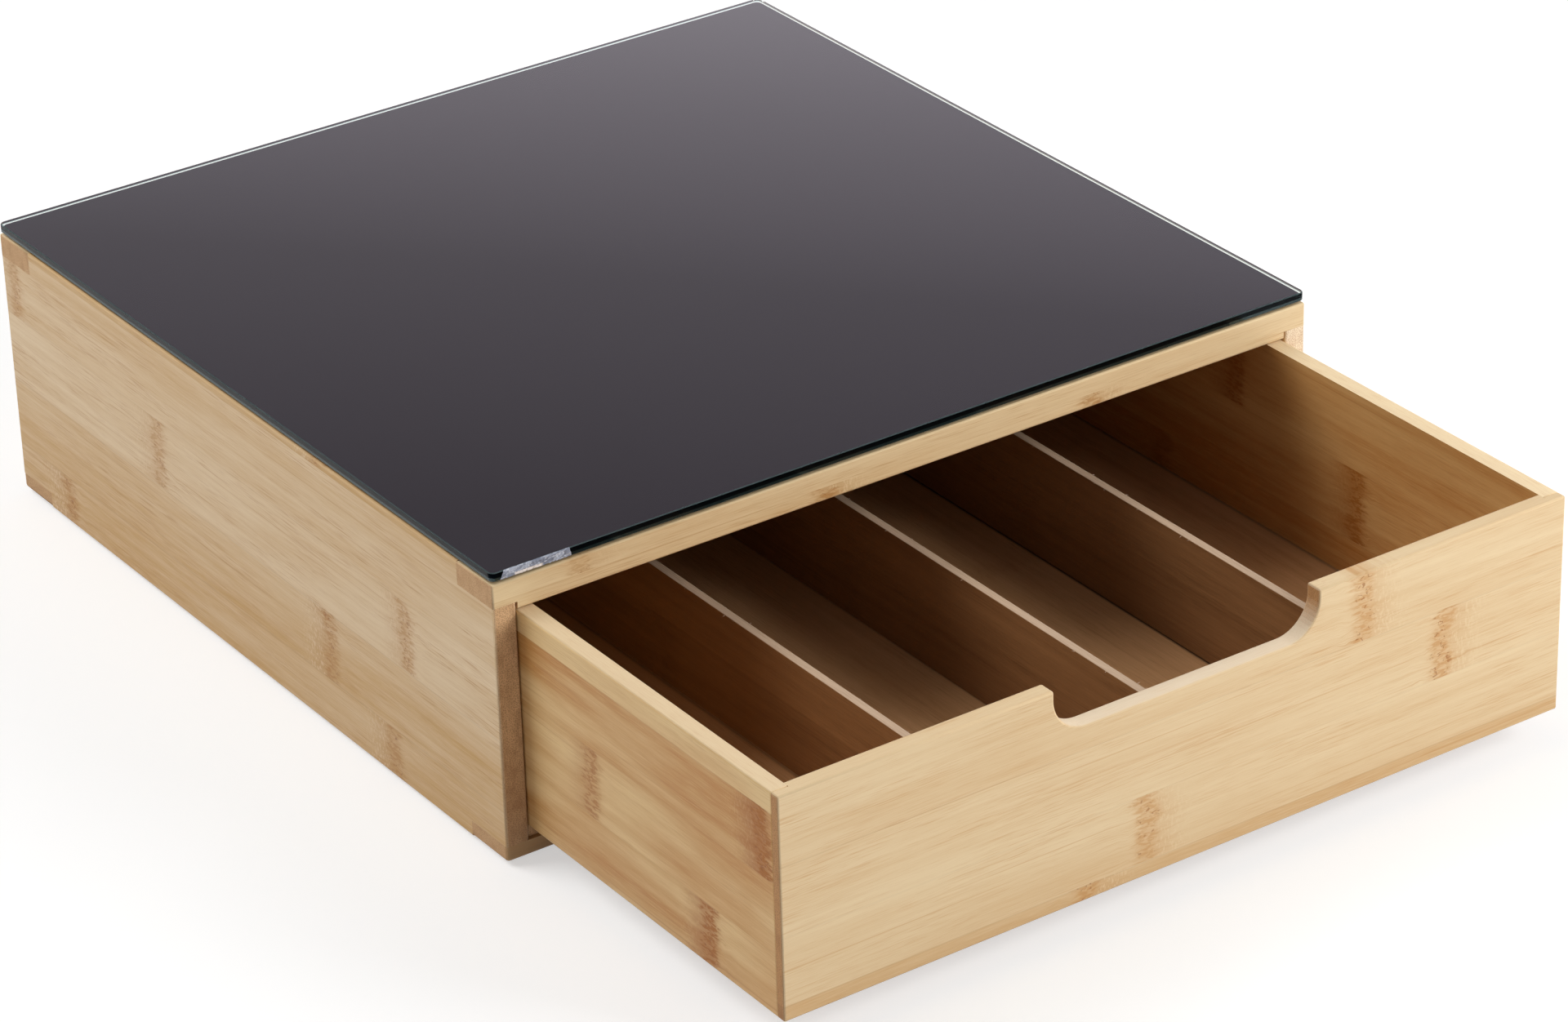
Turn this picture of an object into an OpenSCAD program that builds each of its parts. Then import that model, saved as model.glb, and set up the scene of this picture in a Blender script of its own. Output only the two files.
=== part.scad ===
// Countertop capsule drawer: a bamboo cabinet with a black-backed glass top and one sliding drawer.
// Millimetres. X runs across, the drawer opens along -Y, Z is up.
// The origin is on the surface it stands on, under the middle of the cabinet.

/* [Cabinet] */
// Width of the cabinet over its side panels
cab_w = 310; // [260:1:400]
// Depth of the cabinet, front to back
cab_d = 310; // [260:1:400]
// Height of the wooden cabinet, without feet and glass
carcass_h = 96; // [84:1:140]
// Thickness of the side panels
side_t = 8; // [7:0.5:12]
// Depth of the four cross rails, front to back
rail_d = 20; // [16:1:30]
// Height of the two top rails
top_rail_h = 10.5; // [9:0.5:14]
// Height of the top rails' ends, which lap over the side panels
top_lap_h = 8; // [6:0.5:8.5]
// Height of the two bottom rails
bottom_rail_h = 5.5; // [5:0.5:10]
// Radius of the bottom rails' outer lower edges
bottom_edge_r = 1.5; // [0.5:0.5:2.5]
// Thickness of the bottom panel
bottom_t = 4; // [3:0.5:8]
// How far the bottom panel's front edge stands back
bottom_setback = 1.5; // [0:0.5:6]
// Thickness of the back panel
back_t = 6; // [4:0.5:10]

/* [Glass top] */
// Thickness of the glass plate
glass_t = 3; // [2.5:0.5:8]
// Overhang of the glass past the cabinet on every side
glass_overhang = 0; // [0:0.5:8]
// Corner radius of the glass plate
glass_corner_r = 2; // [1:0.5:15]
// Thickness of the black backing under the glass
backing_t = 0.2; // [0.1:0.1:0.6]
// How far the backing stops short of the glass edge
backing_inset = 0.8; // [0.2:0.1:4]
// Thickness of the clear pads under the glass
pad_t = 0.8; // [0.5:0.1:3]
// Diameter of the clear pads
pad_d = 9; // [6:0.5:14]
// Distance of the outer pads from the cabinet's sides
pad_inset = 30; // [15:1:60]
// Length of the tape strip on the front edge of the glass
tape_l = 25; // [10:1:60]
// Thickness of the tape strip
tape_t = 0.15; // [0.1:0.05:0.4]
// Distance of the tape strip from the glass plate's left corner
tape_start = 3; // [3:0.5:40]

/* [Drawer] */
// How far the drawer stands open
drawer_open = 135; // [0:1:250]
// Thickness of the drawer front
front_t = 6; // [5:0.5:12]
// Thickness of the drawer sides
wall_t = 6; // [5:0.5:10]
// Thickness of the drawer back
rear_t = 6; // [5:0.5:12]
// Thickness of the front's lip that covers the ends of the drawer sides
front_lip = 3.2; // [2:0.2:4]
// Thickness of the drawer floor
floor_t = 3; // [2:0.5:5]
// Height of the floor's underside above the drawer's lower edge
floor_up = 5.5; // [3:0.5:15]
// Depth of the groove that holds the floor
groove_depth = 3; // [1.5:0.5:3.5]

/* [Lanes] */
// Thickness of the dividers
divider_t = 3; // [2:0.5:6]
// Height of the dividers above the floor
divider_h = 39.5; // [20:0.5:50]
// Depth of the upright slots that hold the dividers
slot_depth = 2; // [1:0.5:3]

/* [Finger cut-out] */
// Width of the cut-out in the drawer front
notch_w = 99; // [60:1:140]
// Depth of the cut-out
notch_depth = 15; // [12:1:24]
// Radius of the cut-out's lower corners
notch_r = 12; // [4:0.5:12]

/* [Feet] */
// Diameter of the rubber feet
foot_d = 10; // [6:0.5:14]
// Height of the rubber feet
foot_h = 1.5; // [1:0.5:6]
// Distance of the feet's centres from the cabinet's sides
foot_inset = 20; // [12:1:60]

/* [Fasteners] */
// Diameter of the dowels in the lap joints
dowel_d = 4; // [3:0.5:5]
// Depth of the dowels in the side panels
dowel_in_side = 14; // [8:1:24]
// Depth of the dowels in the rails
dowel_in_rail = 4; // [2:0.5:4]
// Diameter of the brads at the drawer back
brad_d = 1.6; // [1:0.2:2.4]
// Length of the brads
brad_l = 20; // [12:1:30]
// Distance of the brads from the drawer's upper and lower edges
brad_edge = 18; // [15:1:26]

/* [Clearances] */
// Gap under the sliding drawer
run_gap = 0.3; // [0.2:0.1:1]
// Gap above the drawer
top_gap = 0.7; // [0.3:0.1:2]
// Gap on each side of the drawer
side_gap = 0.5; // [0.3:0.1:2]
// Gap behind the closed drawer
stop_gap = 0.5; // [0.3:0.1:4]
// Gap between the side panels and what lies between them
panel_gap = 0.6; // [0.1:0.1:1.5]
// Gap around glued-in pieces
glue_gap = 0.1; // [0.05:0.05:0.3]

/* [Hidden] */

bamboo = "#d8b27c";
bamboo_pale = "#e2c08c";
fibreboard = "#c9a78c";
$fn = 48;
// Extra length of a cut past the face that it opens
cut = 1;

// Levels of the cabinet, upwards
carcass_z = foot_h;
bottom_panel_z = carcass_z + bottom_rail_h;
run_z = bottom_panel_z + bottom_t;
carcass_top_z = carcass_z + carcass_h;
top_rail_z = carcass_top_z - top_rail_h;
lap_z = carcass_top_z - top_lap_h;
backing_z = carcass_top_z + pad_t;
glass_z = backing_z + backing_t;

// Half sizes and the space between the side panels
half_w = cab_w / 2;
half_d = cab_d / 2;
bay_w = cab_w - 2 * side_t;
rail_mid_y = half_d - rail_d / 2;

// The drawer and its places
drawer_w = bay_w - 2 * side_gap;
drawer_l = cab_d - back_t - stop_gap;
drawer_z = run_z + run_gap;
drawer_h = top_rail_z - top_gap - drawer_z;
drawer_top_z = drawer_z + drawer_h;
front_y = -half_d - drawer_open;
rear_y = front_y + drawer_l - rear_t;
lane_space_w = drawer_w - 2 * wall_t;
floor_z = drawer_z + floor_up;
lane_z = floor_z + floor_t;
divider_pitch = (lane_space_w + divider_t) / 4;

// A block from its lowest corner to its highest corner
module block(low, high) {
    translate(low) cube(high - low);
}

// A flat plate in the middle of the cabinet, with round corners
module round_plate(width, depth, thickness, radius) {
    linear_extrude(thickness)
        union() {
            square([width - 2 * radius, depth], center = true);
            square([width, depth - 2 * radius], center = true);
            for (x = [-1, 1], y = [-1, 1])
                translate([x * (width / 2 - radius), y * (depth / 2 - radius)]) circle(radius);
        }
}

// The dowels of the four top joints and the four bottom joints, or their holes with a gap all round
module lap_dowels(gap) {
    for (x = [-1, 1], y = [-1, 1])
        translate([x * (half_w - side_t / 2), y * rail_mid_y, 0]) {
            translate([0, 0, lap_z - dowel_in_side - gap])
                cylinder(d = dowel_d + 2 * gap, h = dowel_in_side + dowel_in_rail + 2 * gap);
            translate([0, 0, bottom_panel_z - dowel_in_rail - gap])
                cylinder(d = dowel_d + 2 * gap, h = dowel_in_side + dowel_in_rail + 2 * gap);
        }
}

// The brads through the drawer sides into the drawer back, or their holes with a gap all round
module back_brads(gap) {
    for (x = [-1, 1], z = [drawer_z + brad_edge, drawer_top_z - brad_edge])
        translate([x * (drawer_w / 2 + gap), rear_y + rear_t / 2, z])
            rotate([0, -x * 90, 0])
                cylinder(d = brad_d + 2 * gap, h = brad_l + 2 * gap);
}

// A side panel, notched at its corners for the rails; hand is -1 on the left, 1 on the right
module side_panel(hand) {
    inner = half_w - side_t;
    difference() {
        translate([hand > 0 ? inner : -half_w, -half_d, carcass_z]) cube([side_t, cab_d, carcass_h]);
        for (y = [-1, 1]) {
            translate([-half_w - cut, y * rail_mid_y - rail_d / 2 - (y < 0 ? cut : 0), lap_z])
                cube([cab_w + 2 * cut, rail_d + cut, top_lap_h + cut]);
            translate([-half_w - cut, y * rail_mid_y - rail_d / 2 - (y < 0 ? cut : 0), carcass_z - cut])
                cube([cab_w + 2 * cut, rail_d + cut, bottom_rail_h + cut]);
        }
        lap_dowels(glue_gap);
    }
}

// A top rail, whose ends are stepped to lap over the side panels; end is -1 at the front, 1 at the back
module top_rail(end) {
    step_w = bay_w - 2 * panel_gap;
    difference() {
        translate([0, end * rail_mid_y, 0])
            union() {
                translate([-half_w, -rail_d / 2, lap_z]) cube([cab_w, rail_d, top_lap_h]);
                translate([-step_w / 2, -rail_d / 2, top_rail_z]) cube([step_w, rail_d, top_rail_h]);
            }
        lap_dowels(glue_gap);
    }
}

// The end view of a bottom rail, with its outer lower edge rounded
module bottom_rail_outline(end) {
    inner_edge = end < 0 ? bottom_edge_r : 0;
    translate([-rail_d / 2, bottom_edge_r]) square([rail_d, bottom_rail_h - bottom_edge_r]);
    translate([inner_edge - rail_d / 2, 0]) square([rail_d - bottom_edge_r, bottom_rail_h]);
    translate([end * (rail_d / 2 - bottom_edge_r), bottom_edge_r]) circle(bottom_edge_r);
}

// A bottom rail, lapped under the side panels; end is -1 at the front, 1 at the back
module bottom_rail(end) {
    difference() {
        translate([-half_w, end * rail_mid_y, carcass_z])
            rotate([90, 0, 90])
                linear_extrude(cab_w) bottom_rail_outline(end);
        lap_dowels(glue_gap);
    }
}

module side_panel_left() {
    color(bamboo) side_panel(-1);
}

module side_panel_right() {
    color(bamboo) side_panel(1);
}

module top_front_rail() {
    color(bamboo_pale) top_rail(-1);
}

module top_back_rail() {
    color(bamboo_pale) top_rail(1);
}

module bottom_front_rail() {
    color(bamboo) bottom_rail(-1);
}

module bottom_back_rail() {
    color(bamboo) bottom_rail(1);
}

// Lies on the bottom rails and carries the drawer
module bottom_panel() {
    panel_w = bay_w - 2 * panel_gap;
    color(bamboo)
        block(
            [-panel_w / 2, -half_d + bottom_setback, bottom_panel_z],
            [panel_w / 2, half_d - back_t, run_z]
        );
}

// Stands between the side panels and between the two back rails
module back_panel() {
    color(bamboo)
        block([-bay_w / 2, half_d - back_t, bottom_panel_z], [bay_w / 2, half_d, top_rail_z]);
}

module glass_top() {
    color("#9fb8b0", 0.4)
        translate([0, 0, glass_z])
            round_plate(cab_w + 2 * glass_overhang, cab_d + 2 * glass_overhang, glass_t, glass_corner_r);
}

// The black layer that shows through the glass
module black_backing() {
    margin = glass_overhang - backing_inset;
    color("#1b1a1d")
        translate([0, 0, backing_z])
            round_plate(cab_w + 2 * margin, cab_d + 2 * margin, backing_t, glass_corner_r);
}

// Three pads on each top rail hold the glass off the wood
module glass_pads() {
    color("#e8ecec")
        for (x = [-1, 0, 1], y = [-1, 1])
            translate([x * (half_w - pad_inset), y * rail_mid_y, carcass_top_z])
                cylinder(d = pad_d, h = pad_t);
}

// A strip of clear tape on the front edge of the glass
module edge_tape() {
    glass_front_y = -half_d - glass_overhang;
    tape_x = -half_w - glass_overhang + tape_start;
    color("#b9bec8")
        block(
            [tape_x, glass_front_y - tape_t, glass_z],
            [tape_x + tape_l, glass_front_y, glass_z + glass_t]
        );
}

module rubber_feet() {
    color("#2a2a2c")
        for (x = [-1, 1], y = [-1, 1])
            translate([x * (half_w - foot_inset), y * rail_mid_y, 0])
                cylinder(d = foot_d, h = foot_h);
}

module carcass_dowels() {
    color("#cfa873") lap_dowels(0);
}

// The outline of the finger cut-out, open at the top, with its lowest edge at zero
module notch_outline() {
    radius = min(notch_r, notch_depth);
    straight_w = notch_w - 2 * radius;
    translate([-straight_w / 2, 0]) square([straight_w, notch_depth + cut]);
    translate([-notch_w / 2, radius]) square([notch_w, notch_depth - radius + cut]);
    for (x = [-1, 1]) translate([x * straight_w / 2, radius]) circle(radius);
}

// The space that the drawer floor takes up in the boards around it, with a gap all round
module floor_space(gap) {
    side_reach = lane_space_w / 2 + groove_depth - glue_gap + gap;
    block(
        [-side_reach, front_y + front_t - groove_depth + glue_gap - gap, floor_z - gap],
        [side_reach, rear_y + groove_depth - glue_gap + gap, floor_z + floor_t + gap]
    );
}

// A divider, or the slots that its ends take up with a gap all round
module divider(place, gap) {
    middle = place * divider_pitch;
    block(
        [middle - divider_t / 2 - gap, front_y + front_t - slot_depth + glue_gap - gap, lane_z],
        [middle + divider_t / 2 + gap, rear_y + slot_depth - glue_gap + gap, lane_z + divider_h + gap]
    );
}

// The front covers the ends of the drawer sides with a lip
module drawer_front() {
    mid_z = drawer_z + drawer_h / 2;
    color(bamboo_pale)
        difference() {
            block([-drawer_w / 2, front_y, drawer_z], [drawer_w / 2, front_y + front_t, drawer_top_z]);
            for (x = [-1, 1])
                translate([x * (drawer_w - wall_t + cut) / 2, front_y + front_lip + front_t / 2, mid_z])
                    cube([wall_t + cut, front_t, drawer_h + 2 * cut], center = true);
            translate([0, front_y + front_t + cut, drawer_top_z - notch_depth])
                rotate([90, 0, 0])
                    linear_extrude(front_t + 2 * cut) notch_outline();
            floor_space(glue_gap);
            for (place = [-1, 0, 1]) divider(place, glue_gap);
        }
}

// A drawer side, grooved for the floor; hand is -1 on the left, 1 on the right
module drawer_side(hand) {
    difference() {
        translate([hand > 0 ? drawer_w / 2 - wall_t : -drawer_w / 2, front_y + front_lip, drawer_z])
            cube([wall_t, drawer_l - front_lip, drawer_h]);
        floor_space(glue_gap);
        back_brads(glue_gap);
    }
}

module drawer_side_left() {
    color(bamboo) drawer_side(-1);
}

module drawer_side_right() {
    color(bamboo) drawer_side(1);
}

// Stands between the drawer sides
module drawer_back() {
    color(bamboo)
        difference() {
            block(
                [-lane_space_w / 2, rear_y, drawer_z],
                [lane_space_w / 2, rear_y + rear_t, drawer_top_z]
            );
            floor_space(glue_gap);
            for (place = [-1, 0, 1]) divider(place, glue_gap);
            back_brads(glue_gap);
        }
}

module drawer_floor() {
    color(bamboo) floor_space(0);
}

module divider_left() {
    color(fibreboard) divider(-1, 0);
}

module divider_middle() {
    color(fibreboard) divider(0, 0);
}

module divider_right() {
    color(fibreboard) divider(1, 0);
}

module drawer_brads() {
    color("#b8babd") back_brads(0);
}

side_panel_left();
side_panel_right();
top_front_rail();
top_back_rail();
bottom_front_rail();
bottom_back_rail();
bottom_panel();
back_panel();
glass_top();
black_backing();
glass_pads();
edge_tape();
rubber_feet();
carcass_dowels();
drawer_front();
drawer_side_left();
drawer_side_right();
drawer_back();
drawer_floor();
divider_left();
divider_middle();
divider_right();
drawer_brads();
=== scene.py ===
import math
import random

import bmesh
import bpy
from mathutils import Matrix, Vector, noise


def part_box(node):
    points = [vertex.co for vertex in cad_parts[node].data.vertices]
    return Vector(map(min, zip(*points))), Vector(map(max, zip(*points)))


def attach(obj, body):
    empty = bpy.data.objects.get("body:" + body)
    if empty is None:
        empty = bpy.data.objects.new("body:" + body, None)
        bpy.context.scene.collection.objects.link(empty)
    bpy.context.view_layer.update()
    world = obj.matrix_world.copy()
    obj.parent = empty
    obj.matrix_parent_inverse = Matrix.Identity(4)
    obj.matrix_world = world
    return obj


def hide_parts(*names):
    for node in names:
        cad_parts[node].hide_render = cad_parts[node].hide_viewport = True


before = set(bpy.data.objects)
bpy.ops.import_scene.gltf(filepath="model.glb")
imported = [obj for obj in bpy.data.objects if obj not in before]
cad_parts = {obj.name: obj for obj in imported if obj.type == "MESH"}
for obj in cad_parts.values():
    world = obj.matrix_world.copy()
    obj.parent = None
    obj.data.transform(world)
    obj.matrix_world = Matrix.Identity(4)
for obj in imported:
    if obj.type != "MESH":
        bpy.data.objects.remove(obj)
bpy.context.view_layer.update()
scene = bpy.context.scene
print("frame loaded with", len(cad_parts), "nodes")

axisOrder = "xyz"
millimetre = 0.001
# places nearer to each other than this count as the same, in metres
touching = 1e-5


def paint(red, green, blue):
    # a screen colour, 0 to 255, as the linear colour that shaders take
    linear = []
    for part in (red / 255, green / 255, blue / 255):
        linear.append(part / 12.92 if part <= 0.04045 else ((part + 0.055) / 1.055) ** 2.4)
    return (*linear, 1.0)


def grey(tone):
    return (tone, tone, tone, 1.0)


def unit(number):
    return min(max(number, 0.0), 1.0)


def metres(sizes):
    return {key: size * millimetre for key, size in sizes.items()}


# Node helpers: a wire is an output socket that can be added, multiplied and faded like a number

def put(tree, kind, **settings):
    node = tree.nodes.new(kind)
    for key, setting in settings.items():
        setattr(node, key, setting)
    return node


def feed(source, socket):
    # a wire is linked, a plain number or colour is set
    if isinstance(source, Wire):
        socket.id_data.links.new(source.socket, socket)
    else:
        socket.default_value = source


def wire(tree, kind, inputs, output=0, **settings):
    node = put(tree, kind, **settings)
    for key, source in inputs.items():
        feed(source, node.inputs[key])
    return Wire(node.outputs[output])


def wires(node):
    return {label: Wire(socket) for label, socket in node.outputs.items()}


class Wire:
    def __init__(self, socket):
        self.socket = socket
        self.tree = socket.id_data

    def maths(self, operation, *values):
        return wire(self.tree, "ShaderNodeMath", dict(enumerate(values)), operation=operation)

    def __add__(self, other):
        return self.maths("ADD", self, other)

    def __sub__(self, other):
        return self.maths("SUBTRACT", self, other)

    def __rsub__(self, other):
        return self.maths("SUBTRACT", other, self)

    def __mul__(self, other):
        return self.maths("MULTIPLY", self, other)

    def __abs__(self):
        return self.maths("ABSOLUTE", self)

    def most(self, other):
        return self.maths("MAXIMUM", self, other)

    def fade(self, low, high, toLow=0.0, toHigh=1.0, kind="SMOOTHSTEP"):
        inputs = {"Value": self, "From Min": low, "From Max": high, "To Min": toLow, "To Max": toHigh}
        return wire(self.tree, "ShaderNodeMapRange", inputs, interpolation_type=kind, clamp=True)

    def tint(self, first, second):
        # sockets 6 and 7 and output 2 are the colours of this node
        inputs = {0: self, 6: first, 7: second}
        return wire(self.tree, "ShaderNodeMix", inputs, 2, data_type="RGBA", clamp_factor=True)

    def ramp(self, stops, interpolation):
        node = put(self.tree, "ShaderNodeValToRGB")
        feed(self, node.inputs[0])
        band = node.color_ramp
        band.interpolation = interpolation
        band.elements[0].position, band.elements[0].color = stops[0]
        band.elements[1].position, band.elements[1].color = stops[-1]
        for place, colour in stops[1:-1]:
            band.elements.new(place).color = colour
        return Wire(node.outputs[0])

    def parts(self, kind="ShaderNodeSeparateColor"):
        node = put(self.tree, kind)
        feed(self, node.inputs[0])
        return [Wire(socket) for socket in node.outputs]


def bundle(x, y, z):
    return wire(x.tree, "ShaderNodeCombineXYZ", {0: x, 1: y, 2: z})


def cloud(place, detail=2.0, distortion=0.0, rough=0.5):
    inputs = {"Vector": place, "Scale": 1.0, "Detail": detail, "Roughness": rough, "Distortion": distortion}
    return wire(place.tree, "ShaderNodeTexNoise", inputs, noise_dimensions="3D")


def cells(place, spread=1.0, dimensions="3D"):
    node = put(place.tree, "ShaderNodeTexVoronoi", feature="F1", voronoi_dimensions=dimensions)
    for label, source in (("Vector", place), ("Scale", 1.0), ("Randomness", spread)):
        feed(source, node.inputs[label])
    return Wire(node.outputs["Distance"]), Wire(node.outputs["Color"]).parts()


def shaderGroup(name, inputs, outputs):
    tree = bpy.data.node_groups.new(name, "ShaderNodeTree")
    for label, setting in inputs.items():
        kind = "NodeSocketColor" if isinstance(setting, tuple) else "NodeSocketFloat"
        tree.interface.new_socket(name=label, in_out="INPUT", socket_type=kind).default_value = setting
    for label in outputs:
        kind = "NodeSocketColor" if label == "Colour" else "NodeSocketFloat"
        tree.interface.new_socket(name=label, in_out="OUTPUT", socket_type=kind)
    return tree, wires(put(tree, "NodeGroupInput")), put(tree, "NodeGroupOutput").inputs


def useGroup(tree, group, **sources):
    node = put(tree, "ShaderNodeGroup", node_tree=group)
    for label, source in sources.items():
        feed(source, node.inputs[label])
    return wires(node)


# Long fibres of a bamboo strip, all lengths in millimetres

fibreLook = {
    # scale along and across the grain, shift, detail, roughness
    "Patch": (0.013, 0.085, 29.3, 2.0, 0.55), "Streak": (0.008, 0.40, 3.1, 2.0, 0.55),
    "Fine": (0.11, 4.6, 61.7, 2.0, 0.55), "Line": (0.006, 0.95, 47.9, 1.0, 0.55),
    "Dash": (0.068, 2.7, 17.7, 2.0, 0.6), "dashArea": (0.017, 0.11, 83.1, 1.0, 0.55),
    "seedStep": 41.0,
}


def makeFibreGroup(look):
    inputs = dict.fromkeys(("Along", "Across", "Depth", "Seed", "Warp"), 0.0)
    tree, take, give = shaderGroup("bambooFibre", inputs, ("Streak", "Dash", "Fine", "Patch", "Line"))
    along, depth = take["Along"], take["Depth"]
    across = take["Across"] + take["Warp"]
    seed = take["Seed"] * look["seedStep"]

    def layer(name):
        alongScale, acrossScale, shift, detail, rough = look[name]
        place = bundle(along * alongScale + seed, across * acrossScale, depth * acrossScale + shift)
        return cloud(place, detail, 0.0, rough)

    for name in ("Patch", "Streak", "Fine"):
        feed(layer(name), give[name])
    feed(layer("Line").fade(0.66, 0.78), give["Line"])
    # short amber dashes, strong in some areas and nearly gone in others
    area = layer("dashArea").fade(0.40, 0.64, 0.08, 1.0)
    feed(layer("Dash").fade(0.50, 0.70) * area, give["Dash"])
    return tree


# The ragged mark where a bamboo cane had a knot, across one strip

knotLook = {
    # scale along and across the grain, shift, detail, distortion
    "wander": (0.01, 0.15, 5.0, 1.0, 0.0), "ragged": (0.10, 0.95, 9.0, 2.0, 0.0),
    "rows": (0.30, 0.95, 7.0, 2.0, 0.8), "breaks": (0.50, 0.70, 21.0, 1.0, 0.0),
    "cellAlong": (0.45, 0.55, 51.0, 1.0, 0.0), "cellAcross": (0.45, 0.55, 67.0, 1.0, 0.0),
    "flecks": (1.3, 0.55, 33.0, 2.0, 0.0), "swirl": (0.13, 0.20, 43.0, 2.0, 0.0),
    # how far these layers push, and how many vessels lie along and across a millimetre
    "reach": {"wander": 7.0, "ragged": 9.0, "cellAlong": 1.3, "cellAcross": 1.3, "swirl": 5.0},
    "vessels": (0.40, 0.58), "seedStep": 13.0,
}
knotMarks = ("Band", "Shade", "Pits", "Frost")


def makeKnotGroup(look):
    inputs = dict.fromkeys(("Along", "Across", "Place", "Strength", "Seed"), 0.0)
    tree, take, give = shaderGroup("bambooKnot", inputs, (*knotMarks, "Warp"))
    along, across = take["Along"], take["Across"]
    away = along - take["Place"]
    seed = take["Seed"] * look["seedStep"]

    def layer(name):
        alongScale, acrossScale, shift, detail, distortion = look[name]
        return cloud(bundle(along * alongScale, across * acrossScale, seed + shift), detail, distortion)

    def push(name):
        return (layer(name) - 0.5) * look["reach"][name]

    def deliver(label, source):
        feed(source * take["Strength"], give[label])

    # rows of fibre start and stop at uneven places
    ragged = away + push("ragged") + push("wander")
    reach = abs(ragged)
    rows = layer("rows").fade(0.42, 0.58)
    deliver("Band", reach.fade(5.8, 1.8) * (rows * 0.82 + 0.18))
    # a duller patch fades out, further on one side than on the other
    deliver("Shade", ragged.fade(-8.0, 1.0) * ragged.fade(16.0, 3.0))
    # open vessel ends: dark dots and broken curls
    perAlong, perAcross = look["vessels"]
    vessels = bundle(along * perAlong + push("cellAlong"), across * perAcross + push("cellAcross"), seed)
    distance, picks = cells(vessels)
    curled = picks[1].fade(0.40, 0.42)
    dot = distance.fade(0.26, 0.14) * (1.0 - curled)
    curl = distance.fade(0.26, 0.34) * distance.fade(0.50, 0.42) * curled
    curl = curl * layer("breaks").fade(0.46, 0.56, 0.0, 0.9)
    deliver("Pits", dot.most(curl) * picks[0].fade(0.15, 0.27) * reach.fade(4.4, 2.0))
    # pale flecks across the grain beside the mark
    beside = ragged.fade(2.0, 6.0) * ragged.fade(22.0, 9.0)
    deliver("Frost", beside * layer("flecks").fade(0.50, 0.64))
    # fibres swirl near the mark
    deliver("Warp", push("swirl") * abs(away).fade(18.0, 3.0))
    return tree


# Cut ends of the fibres: vessel dots in rows

cutEndLook = {"dots": 1.75, "spread": 0.72, "size": 0.16, "vary": 0.12, "rim": 0.16, "broad": (0.16, 0.30)}


def makeCutEndGroup(look):
    tree, take, give = shaderGroup("bambooCutEnd", {"Across": 0.0, "Depth": 0.0}, ("Dots", "Tone"))
    across, depth = take["Across"], take["Depth"]
    distance, picks = cells(bundle(across * look["dots"], depth * look["dots"], 0.0), look["spread"], "2D")
    size = picks[1] * look["vary"] + look["size"]
    feed(distance.fade(size + look["rim"], size), give["Dots"])
    perAcross, perDepth = look["broad"]
    feed(cloud(bundle(across * perAcross, depth * perDepth, 3.0), 3.0), give["Tone"])
    return tree


# Colour, roughness and height of a lacquered bamboo surface

woodLook = {
    "Pale": paint(234, 209, 166), "Deep": paint(212, 176, 126), "Mark": paint(192, 138, 78),
    "End": paint(222, 182, 138), "Vessel": paint(150, 104, 64), "Raw": paint(233, 214, 188),
    "Tone": 0.5, "Streak": 0.5, "Dash": 0.0, "Fine": 0.5, "Patch": 0.5, "Line": 0.0,
    "Band": 0.0, "Shade": 0.0, "Pits": 0.0, "Frost": 0.0, "Seam": 0.0,
    "Ends": 0.0, "Dots": 0.0, "End Tone": 0.5, "Raw Cut": 0.0, "Eased": 0.0,
    "Blotch": 0.9, "Stain": 0.42, "Dashes": 0.42, "Flecks": 0.50, "Halo": 0.26, "Gap": paint(128, 84, 46),
}


def makeWoodGroup(look):
    tree, take, give = shaderGroup("bambooSurface", look, ("Colour", "Roughness", "Height"))
    pale, deep, mark, vessel, fine = (take[key] for key in ("Pale", "Deep", "Mark", "Vessel", "Fine"))
    ends = (take["Dots"] * 0.55).tint(take["End"], vessel)
    ends = take["End Tone"].fade(0.40, 0.70, 0.0, 0.35).tint(ends, vessel)
    ends = take["Tone"].fade(0.35, 0.80, 0.0, 0.35).tint(ends, vessel)
    raw = fine.fade(0.45, 0.75, 0.0, 0.30).tint(take["Raw"], deep)
    mixed = take["Tone"] + (take["Patch"] - 0.5) * take["Blotch"] + (take["Streak"] - 0.5) * 0.8
    wood = mixed.tint(pale, deep)
    layers = (
        (take["Dash"] * take["Dashes"], mark),
        (fine.fade(0.52, 0.26, 0.0, 0.34), pale),
        (fine.fade(0.52, 0.76, 0.0, 0.24), mark),
        (take["Line"] * 0.34, mark),
        (take["Shade"] * take["Halo"], mark),
        (take["Frost"] * take["Flecks"], pale),
        (take["Band"] * take["Stain"], mark),
        (take["Pits"] * 0.74, paint(160, 98, 42)),
        (take["Seam"] * 0.55, take["Gap"]),
        (take["Ends"], ends),
        (take["Raw Cut"] * 0.85, raw),
        # eased edges are lightened towards the pale tone: a painted highlight along the rounded edges
        (take["Eased"] * 0.22, pale),
    )
    for share, colour in layers:
        wood = share.tint(wood, colour)
    feed(wood, give["Colour"])
    gloss = fine * 0.20 + 0.36 + take["Band"] * 0.10 + take["Ends"] * 0.22 + take["Raw Cut"] * 0.25
    feed(gloss, give["Roughness"])
    height = fine * 0.40 - take["Dash"] * 0.15 - take["Pits"] * 0.45 - take["Seam"] * 0.5
    height = height + take["Band"] * 0.30 - take["Dots"] * take["Ends"] * 0.6
    feed(height, give["Height"])
    return tree


fibreGroup = makeFibreGroup(fibreLook)
knotGroup = makeKnotGroup(knotLook)
cutEndGroup = makeCutEndGroup(cutEndLook)
woodGroup = makeWoodGroup(woodLook)
print("shader groups built")


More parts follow.
